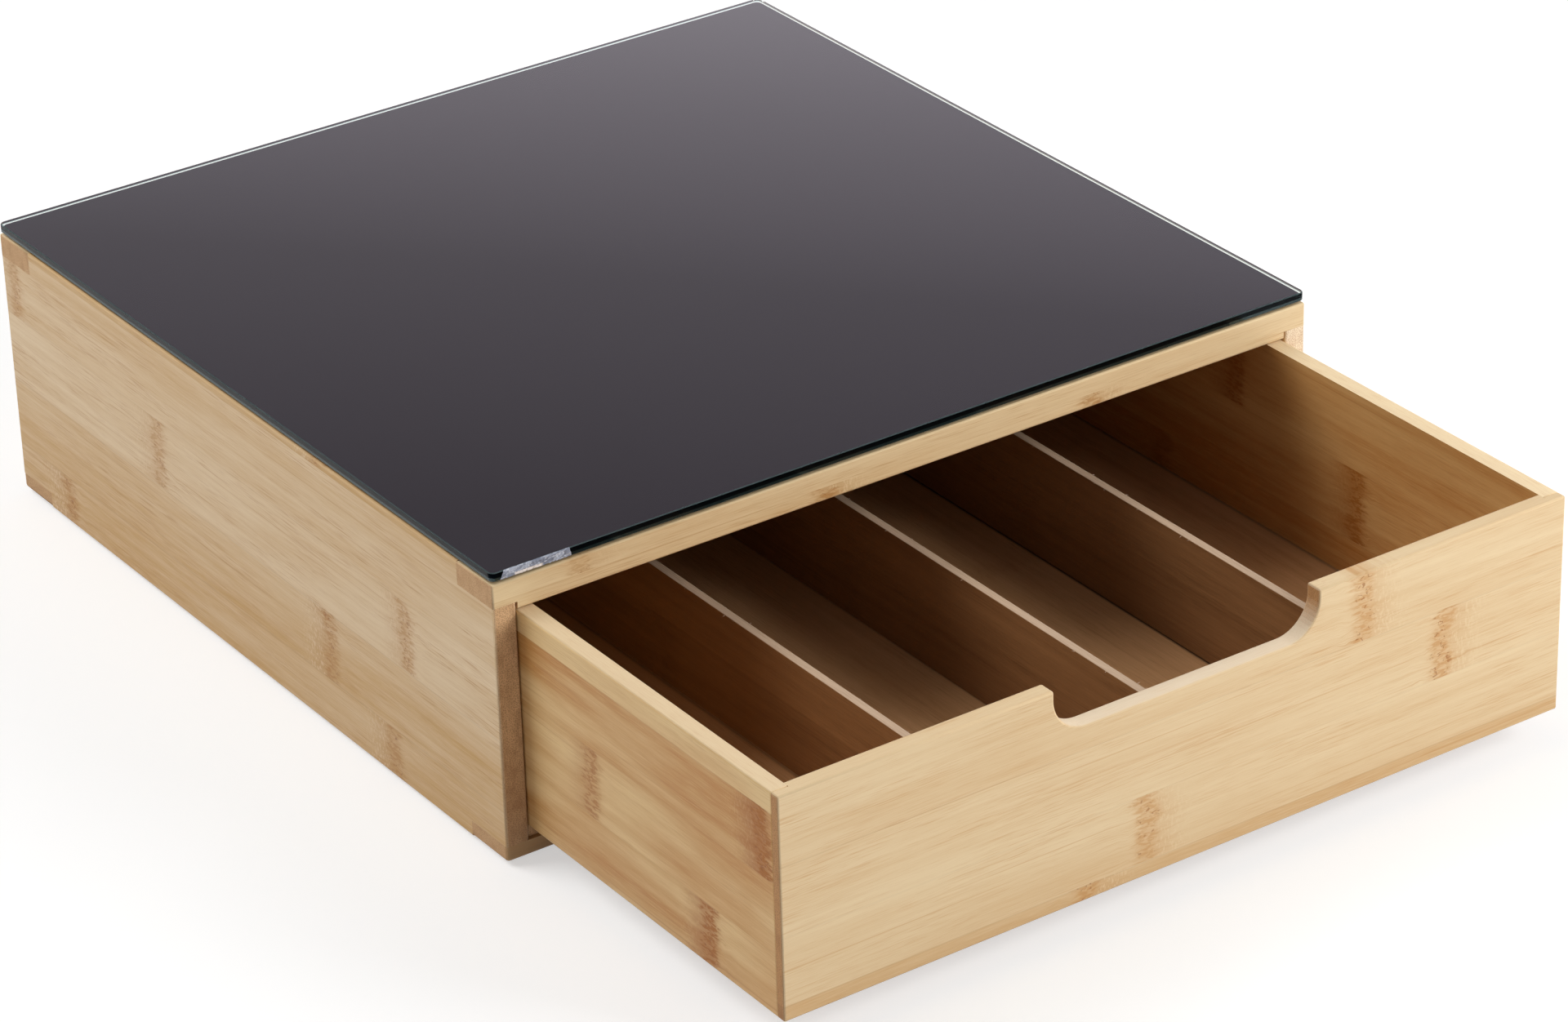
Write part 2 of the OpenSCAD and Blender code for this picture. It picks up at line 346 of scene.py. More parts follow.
def newLook(name, **settings):
    material = bpy.data.materials.new(name)
    material.use_nodes = True
    tree = material.node_tree
    tree.nodes.clear()
    shader = put(tree, "ShaderNodeBsdfPrincipled")
    for label, setting in settings.items():
        shader.inputs[label].default_value = setting
    feed(Wire(shader.outputs[0]), put(tree, "ShaderNodeOutputMaterial").inputs["Surface"])
    return material, tree, shader.inputs


def scaledPlace(tree, perMillimetre=1.0):
    place = Wire(put(tree, "ShaderNodeTexCoord").outputs["Object"])
    inputs = {0: place, "Scale": perMillimetre / millimetre}
    return wire(tree, "ShaderNodeVectorMath", inputs, operation="SCALE")


def placeParts(tree):
    return scaledPlace(tree).parts("ShaderNodeSeparateXYZ")


def addBump(shader, height, strength, depth=0.0002):
    inputs = {"Strength": strength, "Distance": depth, "Height": height}
    feed(wire(height.tree, "ShaderNodeBump", inputs), shader["Normal"])


def faceMask(tree, name):
    return wire(tree, "ShaderNodeAttribute", {}, "Fac", attribute_type="GEOMETRY", attribute_name=name)


# A board's material. look["strips"] lists, from the lowest seam up: tones at the strip's two edges,
# then up to two knots as (place along the grain, strength)

# how far apart in seed the strips are, how sharply their tones meet, half width and strength of a seam
stripSeed = 7.3
toneGap = 0.001
seamLine = (0.20, 0.30)


def stripStops(look):
    # colour ramp stops across a board: two lists for the knots, one for the tones
    seams, run, strips = look["seams"], look["run"], look["strips"]
    width, length = seams[-1] - seams[0], run[1] - run[0]
    knotStops, toneStops = ([], []), []
    for count, (tones, *knots) in enumerate(strips):
        start, stop = ((seam - seams[0]) / width for seam in seams[count:count + 2])
        for which, stops in enumerate(knotStops):
            place, strength = knots[which] if which < len(knots) else (run[0], 0.0)
            stops.append((start, ((place - run[0]) / length, strength, (count + 1) / len(strips), 1.0)))
        toneStops.append((start + toneGap, grey(tones[0])))
        toneStops.append((stop - toneGap, grey(tones[1])))
    for stops in knotStops:
        stops.append((1.0, stops[-1][1]))
    return knotStops, toneStops


def lineStops(look):
    # thin dark lines at seams, or at the joints that look["lines"] gives as (place, half width, strength); on
    # the drawer floor these joint lines are painted shade
    seams = look["seams"]
    stops = [(0.0, grey(0.0))]
    for place, half, strength in look.get("lines") or [(seam, *seamLine) for seam in seams[1:-1]]:
        for shift, shade in ((-half, 0.0), (0.0, strength), (half, 0.0)):
            stops.append(((place + shift - seams[0]) / (seams[-1] - seams[0]), grey(shade)))
    return stops + [(1.0, grey(0.0))]


def bambooLook(name, look):
    material, tree, shader = newLook(name)
    parts = placeParts(tree)
    along, across, depth = (parts[axisOrder.index(look[key])] for key in ("along", "across", "depth"))
    level = across.fade(look["seams"][0], look["seams"][-1], kind="LINEAR")
    knotStops, toneStops = stripStops(look)
    marks = [level.ramp(stops, "CONSTANT").parts() for stops in knotStops]
    low, high = look["run"]
    where = {"Along": along, "Across": across, "Seed": marks[0][2] * stripSeed + look.get("seed", 0.0)}
    knots = []
    for place, strength, _ in marks:
        knots.append(useGroup(tree, knotGroup, Place=place * (high - low) + low, Strength=strength, **where))
    fibre = useGroup(tree, fibreGroup, Depth=depth, Warp=knots[0]["Warp"] + knots[1]["Warp"], **where)
    cut = useGroup(tree, cutEndGroup, Across=across, Depth=depth)
    shown = {
        "Tone": level.ramp(toneStops, "LINEAR").parts()[0],
        "Seam": level.ramp(lineStops(look), "LINEAR").parts()[0],
        "Dots": cut["Dots"], "End Tone": cut["Tone"], "Ends": faceMask(tree, "endGrain"),
        "Eased": faceMask(tree, "easedEdge"), "Raw Cut": faceMask(tree, "rawCut"),
    }
    for key in knotMarks:
        shown[key] = knots[0][key].most(knots[1][key])
    wood = useGroup(tree, woodGroup, **shown, **fibre, **look.get("colours", {}))
    feed(wood["Colour"], shader["Base Color"])
    feed(wood["Roughness"], shader["Roughness"])
    addBump(shader, wood["Height"], look.get("bump", 0.30))
    return material


# in strips that the photograph doesn't show, the second knot stands this share of the run from the first
knotSpacing = 0.62


def randomStrips(count, run, seed, tones=(0.2, 0.75), knots=1.0):
    draw = random.Random(seed)
    strips = []
    for _ in range(count):
        place = draw.uniform(*run)
        side = 1 if place < (run[0] + run[1]) / 2 else -1
        further = place + (run[1] - run[0]) * knotSpacing * side
        pair = (draw.uniform(*tones), draw.uniform(*tones))
        first = (place, knots * draw.uniform(0.7, 1.0))
        strips.append((pair, first, (further, knots * draw.uniform(0.0, 0.9))))
    return strips


# Boards: a merged copy of the CAD solid with eased edges

boardRules = {
    # merge distance in metres, angles in radians
    "merge": 2e-6, "flat": math.radians(0.5), "sharp": 0.5,
    # how far a face turns towards the grain before end grain shows, and how much more until it shows fully
    "endFrom": 0.55, "endOver": 0.25,
}


def onPlanes(edge, low, high):
    count = 0
    for axis in range(3):
        for bound in (low[axis], high[axis]):
            count += all(abs(corner.co[axis] - bound) < touching for corner in edge.verts)
    return count


def newMesh(name, bm):
    mesh = bpy.data.meshes.new(name)
    bm.to_mesh(mesh)
    bm.free()
    return mesh


def addPiece(name, mesh, *materials):
    piece = bpy.data.objects.new(name, mesh)
    scene.collection.objects.link(piece)
    for material in materials:
        mesh.materials.append(material)
    return piece


def settle(piece, body, slot, *nodes):
    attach(piece, body)
    if nodes:
        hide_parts(*nodes)


def isEased(edge, look, low, high):
    extra, flush = look.get("alsoEase"), look.get("flush")
    if len(edge.link_faces) != 2 or edge.calc_face_angle_signed(0.0) <= boardRules["sharp"]:
        return False
    outer = onPlanes(edge, low, high) >= 2 or (extra and extra(edge))
    return outer and not (flush and flush(edge))


def easedMesh(node, name, look):
    low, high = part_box(node)
    bm = bmesh.new()
    bm.from_mesh(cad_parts[node].data)
    bmesh.ops.remove_doubles(bm, verts=bm.verts[:], dist=boardRules["merge"])
    bmesh.ops.dissolve_limit(bm, angle_limit=boardRules["flat"], use_dissolve_boundaries=False,
                             verts=bm.verts[:], edges=bm.edges[:], delimit=set())
    for face in bm.faces:
        face.smooth = False
    picked = [edge for edge in bm.edges if isEased(edge, look, low, high)]
    made = bmesh.ops.bevel(bm, geom=picked, offset=look["ease"] * millimetre, offset_type="OFFSET",
                           segments=look.get("easeSteps", 2), profile=0.5, affect="EDGES",
                           clamp_overlap=True, loop_slide=True)
    for face in made["faces"]:
        face.smooth = True
    bm.normal_update()
    marks = {key: bm.faces.layers.float.new(key) for key in ("endGrain", "rawCut", "easedEdge")}
    grain = axisOrder.index(look["along"])
    rawRule, roundRule = look.get("raw"), look.get("round")
    for face in bm.faces:
        turned = abs(face.normal[grain])
        face[marks["endGrain"]] = unit((turned - boardRules["endFrom"]) / boardRules["endOver"])
        # the wood group lightens faces with this mark: a painted highlight on the eased edges
        face[marks["easedEdge"]] = 1.0 if face.smooth else 0.0
        face[marks["rawCut"]] = rawRule(face) if rawRule else 0.0
        if roundRule and roundRule(face):
            face.smooth = True
    return newMesh(name, bm)


boardMaterials = {}


def makeBoard(node, name, look, materialName, body, slot):
    if materialName not in boardMaterials:
        boardMaterials[materialName] = bambooLook(materialName, look)
    settle(addPiece(name, easedMesh(node, name, look), boardMaterials[materialName]), body, slot, node)


# Cabinet sides

sideLook = {
    "along": "y", "across": "z", "depth": "x", "ease": 0.7, "run": (-155, 155), "seed": 0.4,
    "seams": [1.5, 19.1, 43.9, 68.9, 95.1, 97.5],
    "strips": [
        ((0.80, 0.65), (120.6, 1.0), (-90.6, 0.95)),
        ((0.75, 0.45), (-54.0, 1.0)),
        ((0.22, 0.16), (52.0, 0.8), (-101.6, 0.9)),
        ((0.30, 0.42), (147.0, 0.75)),
        ((0.75, 0.75), (-53.0, 0.95)),
    ],
    "colours": {
        "Pale": paint(235, 208, 170), "Deep": paint(204, 159, 94), "Mark": paint(182, 126, 64),
        "Dashes": 0.62, "Stain": 0.58,
    },
}
rightSideLook = dict(
    sideLook, strips=randomStrips(5, (-140, 140), 5), seed=1.9,
    colours={"End": paint(246, 227, 198), "Vessel": paint(192, 146, 104)},
)
makeBoard("side_panel_left", "SidePanelLeft", sideLook, "sideBamboo", "cabinet", "bamboo")
makeBoard("side_panel_right", "SidePanelRight", rightSideLook, "sideBambooRight", "cabinet", "bamboo")
print("cabinet sides made")

# Rails, whose ends show as darker blocks on the sides

carcassLow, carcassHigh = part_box("side_panel_left")
# in metres: just above a bottom rail's rounded lower edges, and just below its top
lowerRoundTop = 0.0031
bottomRailTop = 0.00699


def meetsSide(edge):
    # on a rail's end, but not at an outer edge of the cabinet
    ends = [corner.co for corner in edge.verts]
    if any(abs(abs(place.x) - abs(carcassLow.x)) > touching for place in ends):
        return False
    for axis in (1, 2):
        for bound in (carcassLow[axis], carcassHigh[axis]):
            if all(abs(place[axis] - bound) < touching for place in ends):
                return False
    return True


def lowerEnd(edge):
    # the lower outline of a bottom rail's end
    ends = [corner.co for corner in edge.verts]
    return all(abs(place.x) > -carcassLow.x - touching and place.z < lowerRoundTop for place in ends)


def meetsPanels(edge):
    onTop = all(corner.co.z > bottomRailTop for corner in edge.verts)
    return not lowerEnd(edge) and (onTop or meetsSide(edge))


def onLowerRound(face):
    slanted = abs(face.normal.x) < 0.1 and 0.02 < abs(face.normal.z) < 0.999
    return slanted and face.calc_center_median().z < lowerRoundTop


railColours = {"End": paint(212, 172, 128), "Vessel": paint(176, 128, 84)}
topRailLook = {
    "along": "x", "across": "z", "depth": "y", "ease": 0.6, "run": (-155, 155), "seed": 3.3,
    "seams": [87.0, 91.6, 97.5], "lines": [(91.6, 0.2, 0.0)], "flush": meetsSide,
    "strips": [((0.38, 0.28), (-35.0, 1.0), (68.0, 0.9)), ((0.28, 0.23), (-124.0, 0.55))],
    "colours": dict(railColours, Mark=paint(178, 124, 62), Stain=0.66),
}
bottomRailLook = {
    "along": "x", "across": "y", "depth": "z", "ease": 1.3, "easeSteps": 4, "run": (-155, 155),
    "seams": [-155, -145, -135], "strips": [((0.6, 0.5), (-60.0, 0.7)), ((0.5, 0.6), (80.0, 0.7))],
    "alsoEase": lowerEnd, "flush": meetsPanels, "round": onLowerRound,
    # these darker pale and deep tones, which both bottom rails take, are painted shade: they stand in for the
    # shade that the drawer casts on the rails' front faces
    "colours": dict(railColours, Pale=paint(196, 160, 112), Deep=paint(166, 124, 76)),
}
backBottomRailLook = dict(bottomRailLook, seams=[135, 145, 155])
railPieces = (
    ("top_front_rail", "TopFrontRail", topRailLook, "topRailBamboo", "bamboo_pale"),
    ("top_back_rail", "TopBackRail", topRailLook, "topRailBamboo", "bamboo_pale"),
    ("bottom_front_rail", "BottomFrontRail", bottomRailLook, "bottomRailBamboo", "bamboo"),
    ("bottom_back_rail", "BottomBackRail", backBottomRailLook, "bottomBackRailBamboo", "bamboo"),
)
for node, name, look, materialName, slot in railPieces:
    makeBoard(node, name, look, materialName, "cabinet", slot)
print("rails made")

# Sheets: the bottom and the back of the cabinet

bottomSeams = [-146.4 + 24.4 * k for k in range(13)]
bottomLook = {
    "along": "y", "across": "x", "depth": "z", "ease": 0.4, "run": (-155, 155), "seams": bottomSeams,
    "strips": randomStrips(12, (-150, 150), 11),
    "lines": [(place, *seamLine) for place in bottomSeams[2:-2:2]],
}
backLook = {
    "along": "x", "across": "z", "depth": "y", "ease": 0.4, "run": (-147, 147),
    "seams": [7.0, 27.0, 47.0, 67.0, 87.0], "strips": randomStrips(4, (-140, 140), 23),
}
makeBoard("bottom_panel", "BottomPanel", bottomLook, "bottomPanelBamboo", "cabinet", "bamboo_ply")
makeBoard("back_panel", "BackPanel", backLook, "backPanelBamboo", "cabinet", "bamboo_ply")
print("bottom and back made")

# Drawer front, with its finger cut-out

cutOut = {
    # in metres: just below its floor and the board's top, half widths that hold its edges and its faces
    "floor": 0.0705, "top": 0.0862, "edgeReach": 0.0498, "faceReach": 0.0505,
    # how far its faces look forward at most, and where the raw cut fades in as they turn up
    "forward": 0.4, "rawFrom": 0.1, "rawOver": 0.7,
}


def onCutOut(edge):
    ends = [corner.co for corner in edge.verts]
    return all(place.z > cutOut["floor"] and abs(place.x) < cutOut["edgeReach"] for place in ends)


def inCutOut(face):
    centre = face.calc_center_median()
    within = cutOut["floor"] < centre.z < cutOut["top"] and abs(centre.x) < cutOut["faceReach"]
    return within and abs(face.normal.y) < cutOut["forward"]


def sawnCutOut(face):
    return unit((face.normal.z - cutOut["rawFrom"]) / cutOut["rawOver"]) if inCutOut(face) else 0.0


frontLook = {
    "along": "x", "across": "z", "depth": "y", "ease": 0.6, "run": (-146.5, 146.5), "seed": 5.1,
    "seams": [11.3, 16.3, 39.3, 62.9, 86.3],
    "strips": [
        ((1.10, 0.90), (-38.5, 1.0)),
        ((0.40, 0.18), (-15.5, 0.9)),
        ((0.18, 0.28), (98.5, 1.0)),
        ((0.42, 0.22), (66.5, 1.0)),
    ],
    "alsoEase": onCutOut, "raw": sawnCutOut, "round": inCutOut,
    "colours": {
        "Pale": paint(233, 207, 165), "Deep": paint(214, 176, 126), "End": paint(196, 146, 96),
        "Mark": paint(196, 136, 68), "Stain": 0.55, "Dashes": 0.38,
    },
}

# Drawer sides, back and floor

# in metres: above the first is near the drawer's top, past the second outside, within the third inside
drawerUpper = 0.08
drawerOutside = 0.14
drawerInside = 0.1406


def paleTop(face):
    return 0.9 if face.normal.z > 0.7 and face.calc_center_median().z > drawerUpper else 0.0


def paleTopAndOutside(face):
    return 0.5 if face.normal.x > 0.7 and face.calc_center_median().x > drawerOutside else paleTop(face)


def innerTopEdge(edge):
    ends = [corner.co for corner in edge.verts]
    return all(place.z > drawerUpper and abs(place.x) < drawerInside for place in ends)


drawerSideLook = {
    "along": "y", "across": "z", "depth": "x", "ease": 0.6, "run": (-287, 14), "seed": 2.2,
    "raw": paleTop, "flush": innerTopEdge, "seams": [11.3, 32.3, 56.0, 79.0, 86.3],
    "strips": [
        ((0.50, 0.55), (-253.0, 1.2), (-40.0, 0.8)),
        ((0.35, 0.55), (-191.9, 0.7)),
        ((0.55, 0.75), (-281.0, 1.5), (-90.0, 0.8)),
        ((0.15, 0.05),),
    ],
    "colours": {
        "Pale": paint(236, 201, 144), "Deep": paint(198, 140, 74), "Mark": paint(172, 107, 44),
        "Raw": paint(236, 213, 178), "Blotch": 2.0, "Stain": 0.92, "Dashes": 0.30, "Flecks": 0.10,
        "Halo": 0.50,
    },
}
# the right side's pale and deep tones are darker and more orange than the left side's: partly painted shade,
# matched on its inner face, which lies in shade. Its raw colour is lighter than the left side's, so that its
# sawn top edge is lighter: painted light
drawerRightColours = dict(
    drawerSideLook["colours"], Pale=paint(229, 186, 124), Deep=paint(190, 126, 60), Raw=paint(255, 236, 198),
    Blotch=1.1, Dashes=0.42,
)
drawerRightLook = dict(
    drawerSideLook, raw=paleTopAndOutside, seed=6.7, colours=drawerRightColours,
    seams=[11.3, 33.0, 58.8, 86.3],
    strips=[
        ((0.85, 0.80), (-100.0, 0.8)),
        ((0.75, 0.65), (-199.5, 1.1), (-20.0, 0.7)),
        ((0.55, 0.40), (-137.7, 1.1)),
    ],
)
drawerBackLook = {
    "along": "x", "across": "z", "depth": "y", "ease": 0.5, "run": (-140, 140),
    "seams": [11.3, 30.0, 50.0, 70.0, 86.3], "strips": randomStrips(4, (-130, 130), 31),
}
laneEdges = [-140.5, -72.5, -69.5, -1.5, 1.5, 69.5, 72.5, 140.5]
floorLook = {
    "along": "y", "across": "x", "depth": "z", "ease": 0.2, "run": (-287, 11), "bump": 0.6,
    "seams": [-143.5, -105.0, -70.0, -35.0, 0.0, 35.0, 70.0, 105.0, 143.5],
    "strips": randomStrips(8, (-280, 0), 47, (0.45, 0.65), 0.25),
    # near-black lines at the lanes' edges, in the Gap colour below: painted shade in the narrow joints where
    # the floor meets the walls and dividers
    "lines": [(edge, 0.7, 1.9) for edge in laneEdges],
    "colours": {
        "Pale": paint(228, 180, 132), "Deep": paint(196, 146, 98), "Mark": paint(162, 110, 64),
        "Gap": paint(46, 29, 17),
    },
}
drawerPieces = (
    ("drawer_front", "DrawerFront", frontLook, "drawerFrontBamboo", "bamboo_pale"),
    ("drawer_side_left", "DrawerSideLeft", drawerSideLook, "drawerSideBamboo", "bamboo"),
    ("drawer_side_right", "DrawerSideRight", drawerRightLook, "drawerSideBambooRight", "bamboo"),
    ("drawer_back", "DrawerBack", drawerBackLook, "drawerBackBamboo", "bamboo"),
    ("drawer_floor", "DrawerFloor", floorLook, "drawerFloorBamboo", "bamboo_ply"),
)
for node, name, look, materialName, slot in drawerPieces:
    makeBoard(node, name, look, materialName, "drawer", slot)
print("drawer box made")

# Dividers, with raw sawn top edges

dividerSides = ("left", "middle", "right")


def sawnTop(face):
    return 1.0 if face.normal.z > 0.5 else 0.0


dividerLook = {
    "along": "y", "across": "z", "depth": "x", "ease": 0.2, "run": (-286, 9), "bump": 0.5, "raw": sawnTop,
    "seams": [19.8, 43.0, 59.3], "strips": [((0.6, 0.7), (-120.0, 0.3)), ((0.5, 0.6), (-40.0, 0.3))],
    "colours": {
        "Pale": paint(158, 115, 75), "Deep": paint(120, 81, 48), "Mark": paint(94, 60, 32),
        "Raw": paint(210, 184, 158), "End": paint(176, 136, 104),
    },
}
for side in dividerSides:
    name = "Divider" + side.title()
    makeBoard("divider_" + side, name, dividerLook, "dividerBoard", "drawer", "divider_board")
print("dividers made")

# Glass plate with a flat polished edge and thin arrises

glassLook = {
    # millimetres, and the share of the edge's height below its darker upper band
    "arris": 0.28, "corner": 2.0, "overBacking": 0.03, "split": 0.4, "cornerSteps": 12,
}
# base colour, reflection tint, how much light passes, lowest and highest roughness, bending of light
glassSurfaces = {
    "glassFace": ((0.95, 0.985, 0.975, 1.0), (0.88, 0.61, 1.0, 1.0), 1.0, 0.0, 0.03, 1.52),
    "glassEdge": ((0.10, 0.38, 0.38, 1.0), (0.80, 1.0, 1.0, 1.0), 0.97, 0.03, 0.10, 1.52),
    # the upper band's near-black reflection tint and low bending of light make it reflect far less than glass
    # does: painted shade for a dim reflection; its dark base colour is the black backing seen through the
    # edge
    "glassUpperedge": ((0.02, 0.06, 0.07, 1.0), (0.0, 0.02, 0.05, 1.0), 1.0, 0.03, 0.08, 1.32),
    "glassArrisface": ((0.42, 0.62, 0.64, 1.0), (0.90, 1.0, 1.0, 1.0), 0.88, 0.22, 0.36, 1.52),
}
# which surface each band of the edge takes, from the lower arris up
glassBands = (3, 1, 2, 3)
# faces smaller than this, in square metres, belong to a round corner
cornerFace = 2e-6
glassLow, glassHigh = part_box("glass_top")
arris = glassLook["arris"] * millimetre
# the black layer sits in optical contact
glassBottom = glassLow.z - glassLook["overBacking"] * millimetre


def plateRing(bm, halfX, halfY, radius, z, steps):
    ring = []
    for quarter, (signX, signY) in enumerate(((1, 1), (-1, 1), (-1, -1), (1, -1))):
        for step in range(steps + 1):
            angle = math.radians(90 * quarter + 90 * step / steps)
            x = signX * (halfX - radius) + radius * math.cos(angle)
            y = signY * (halfY - radius) + radius * math.sin(angle)
            ring.append(bm.verts.new((x, y, z)))
    return ring


def bridge(bm, lower, upper):
    corners = zip(lower, lower[1:] + lower[:1], upper[1:] + upper[:1], upper)
    return [bm.faces.new(four) for four in corners]


def glassMesh(name):
    bm = bmesh.new()
    middle = glassBottom + glassLook["split"] * (glassHigh.z - glassBottom)
    levels = ((glassBottom, arris), (glassBottom + arris, 0.0), (middle, 0.0), (glassHigh.z - arris, 0.0),
              (glassHigh.z, arris))
    rings = []
    for z, inset in levels:
        halfX, halfY = glassHigh.x - inset, glassHigh.y - inset
        radius = glassLook["corner"] * millimetre - inset
        rings.append(plateRing(bm, halfX, halfY, radius, z, glassLook["cornerSteps"]))
    for surface, lower, upper in zip(glassBands, rings, rings[1:]):
        for face in bridge(bm, lower, upper):
            face.smooth = face.calc_area() < cornerFace
            face.material_index = surface
    bm.faces.new(list(reversed(rings[0])))
    bm.faces.new(rings[-1])
    bmesh.ops.recalc_face_normals(bm, faces=bm.faces[:])
    return newMesh(name, bm)


def glassMaterial(name, base, sheen, clear, smooth, hazy, bending):
    settings = {"Base Color": base, "Specular Tint": sheen, "Transmission Weight": clear, "IOR": bending}
    material, tree, shader = newLook(name, **settings)
    wipe = cloud(scaledPlace(tree, 0.02), 4.0, 0.8)
    feed(wipe.fade(0.35, 0.75, smooth, hazy), shader["Roughness"])
    return material


glassMaterials = [glassMaterial(name, *surface) for name, surface in glassSurfaces.items()]
settle(addPiece("GlassPlate", glassMesh("GlassPlate"), *glassMaterials), "cabinet", "glass", "glass_top")

# where most values of a cloud lie
cloudRange = (0.3, 0.7)
lacquerLook = {
    "dark": (0.0365, 0.0240, 0.0345, 1.0), "light": (0.0445, 0.0305, 0.0425, 1.0), "rough": (0.45, 0.6),
}


def lacquerMaterial(look):
    material, tree, shader = newLook("blackLacquer", **{"Specular IOR Level": 0.2})
    wash = cloud(scaledPlace(tree, 0.012), 3.0)
    feed(wash.fade(*cloudRange).tint(look["dark"], look["light"]), shader["Base Color"])
    feed(wash.fade(*cloudRange, *look["rough"]), shader["Roughness"])
    return material


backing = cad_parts["black_backing"]
backing.material_slots[0].material = lacquerMaterial(lacquerLook)
print("glass top made")

# Crinkled tape on the front edge of the glass

tapeLook = {
    "columns": 110, "rows": 14, "seed": 4.0,
    # millimetres: height of the folds, thickness of the film, air below it, glass left free below and
    # above, and how far the upper corners are cut back
    "crinkle": 0.30, "film": 0.04, "lift": 0.03, "freeBelow": 0.28, "freeAbove": 0.02,
    "slants": (1.4, -0.4),
    # folds per metre along the strip and per height of it, and the finer folds among them
    "folds": (900, 2.2), "fineFolds": 2.7, "fineShare": 0.35,
    # the silver-blue tones and the white along the fold ridges are painted sheen and painted highlights of
    # the clear, crinkled film
    "dark": paint(134, 140, 156), "light": paint(178, 184, 200), "ridgeGlint": paint(232, 236, 244),
    # where the film is loose, in millimetres up and along the edge
    "loose": paint(242, 232, 226), "looseTop": (99.75, 99.45),
    "looseEnds": ((-147.2, -146.4), (-136.6, -137.6)),
}
tapeLow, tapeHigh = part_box("edge_tape")


def tapeMaterial(look):
    material, tree, shader = newLook("crinkledTape")
    x, y, z = placeParts(tree)
    crease = cloud(bundle((z * -1.1 + x) * 0.34, y * 0.5, z * 0.75), 1.2, 0.7)
    # painted sheen: silver-blue tones that follow the folds, then painted highlights along the fold ridges
    paintedSheen = crease.fade(0.34, 0.66).tint(look["dark"], look["light"])
    paintedSheen = (abs(crease - 0.52).fade(0.035, 0.0) * 0.7).tint(paintedSheen, look["ridgeGlint"])
    # the film is stuck down badly along its lower edge and looks white there
    first, last = look["looseEnds"]
    loose = z.fade(*look["looseTop"]) * (x.fade(*first) * x.fade(*last))
    feed(loose.tint(paintedSheen, look["loose"]), shader["Base Color"])
    feed(crease.fade(*cloudRange, 0.10, 0.30), shader["Roughness"])
    addBump(shader, crease, 0.35, 0.0003)
    return material


def tapePlace(look, u, v, layer):
    # u runs along the strip and v up it, both from 0 to 1
    slant = look["slants"][0 if u < 0.5 else 1] * millimetre
    x = tapeLow.x + (tapeHigh.x - tapeLow.x) * u + slant * v * abs(1 - 2 * u) ** 6
    perAlong, perHeight = look["folds"]
    spot = Vector((x * perAlong, v * perHeight, look["seed"]))
    fold = max(1 - abs(noise.noise(spot)) * 2, 0) ** 3
    fold += look["fineShare"] * max(noise.noise(spot * look["fineFolds"]), 0)
    # pressed down towards the upper edge, where the film follows the arris
    lift = (look["lift"] + look["crinkle"] * fold * min(1.0, 6 * (1 - v)) + layer) * millimetre
    low = glassBottom + look["freeBelow"] * millimetre
    high = glassHigh.z - look["freeAbove"] * millimetre
    z = low + (high - low) * v
    overArris = max(z - (glassHigh.z - arris), 0.0)
    return (x, -glassHigh.y + overArris * 0.8 - lift, z)


def strip(bm, here, there):
    for k in range(len(here) - 1):
        bm.faces.new((here[k], there[k], there[k + 1], here[k + 1]))


def tapeMesh(name, look):
    bm = bmesh.new()
    columns, rows = look["columns"], look["rows"]
    sheets = []
    for layer in (0.0, look["film"]):
        grid = []
        for column in range(columns + 1):
            line = [tapePlace(look, column / columns, row / rows, layer) for row in range(rows + 1)]
            grid.append([bm.verts.new(place) for place in line])
        sheets.append(grid)
        for here, there in zip(grid, grid[1:]):
            strip(bm, here, there)
    inner, outer = sheets
    for row in (0, rows):
        strip(bm, [line[row] for line in inner], [line[row] for line in outer])
    for column in (0, columns):
        strip(bm, inner[column], outer[column])
    bmesh.ops.recalc_face_normals(bm, faces=bm.faces[:])
    for face in bm.faces:
        face.smooth = True
    return newMesh(name, bm)


tape = addPiece("EdgeTape", tapeMesh("EdgeTape", tapeLook), tapeMaterial(tapeLook))
settle(tape, "cabinet", "clear_tape", "edge_tape")
print("tape made")


# Small repeated pieces: one turned shape, placed by a node tree

def turned(name, profile, sides, flutes=0.0):
    # profile lists (radius, height) from the axis at the bottom to the axis at the top
    bm = bmesh.new()
    rings = []
    for radius, z in profile:
        if radius == 0:
            rings.append([bm.verts.new((0, 0, z))])
            continue
        ring = []
        for side in range(sides):
            angle = 2 * math.pi * side / sides
            reach = radius - (flutes if side % 2 else 0.0)
            ring.append(bm.verts.new((reach * math.cos(angle), reach * math.sin(angle), z)))
        rings.append(ring)
    for lower, upper in zip(rings, rings[1:]):
        if len(lower) == 1:
            for k in range(sides):
                bm.faces.new((lower[0], upper[(k + 1) % sides], upper[k]))
        elif len(upper) == 1:
            for k in range(sides):
                bm.faces.new((lower[k], lower[(k + 1) % sides], upper[0]))
        else:
            bridge(bm, lower, upper)
    bmesh.ops.recalc_face_normals(bm, faces=bm.faces[:])
    for face in bm.faces:
        face.smooth = abs(face.normal.z) < 0.95 and not flutes
    return addPiece(name, newMesh(name, bm))


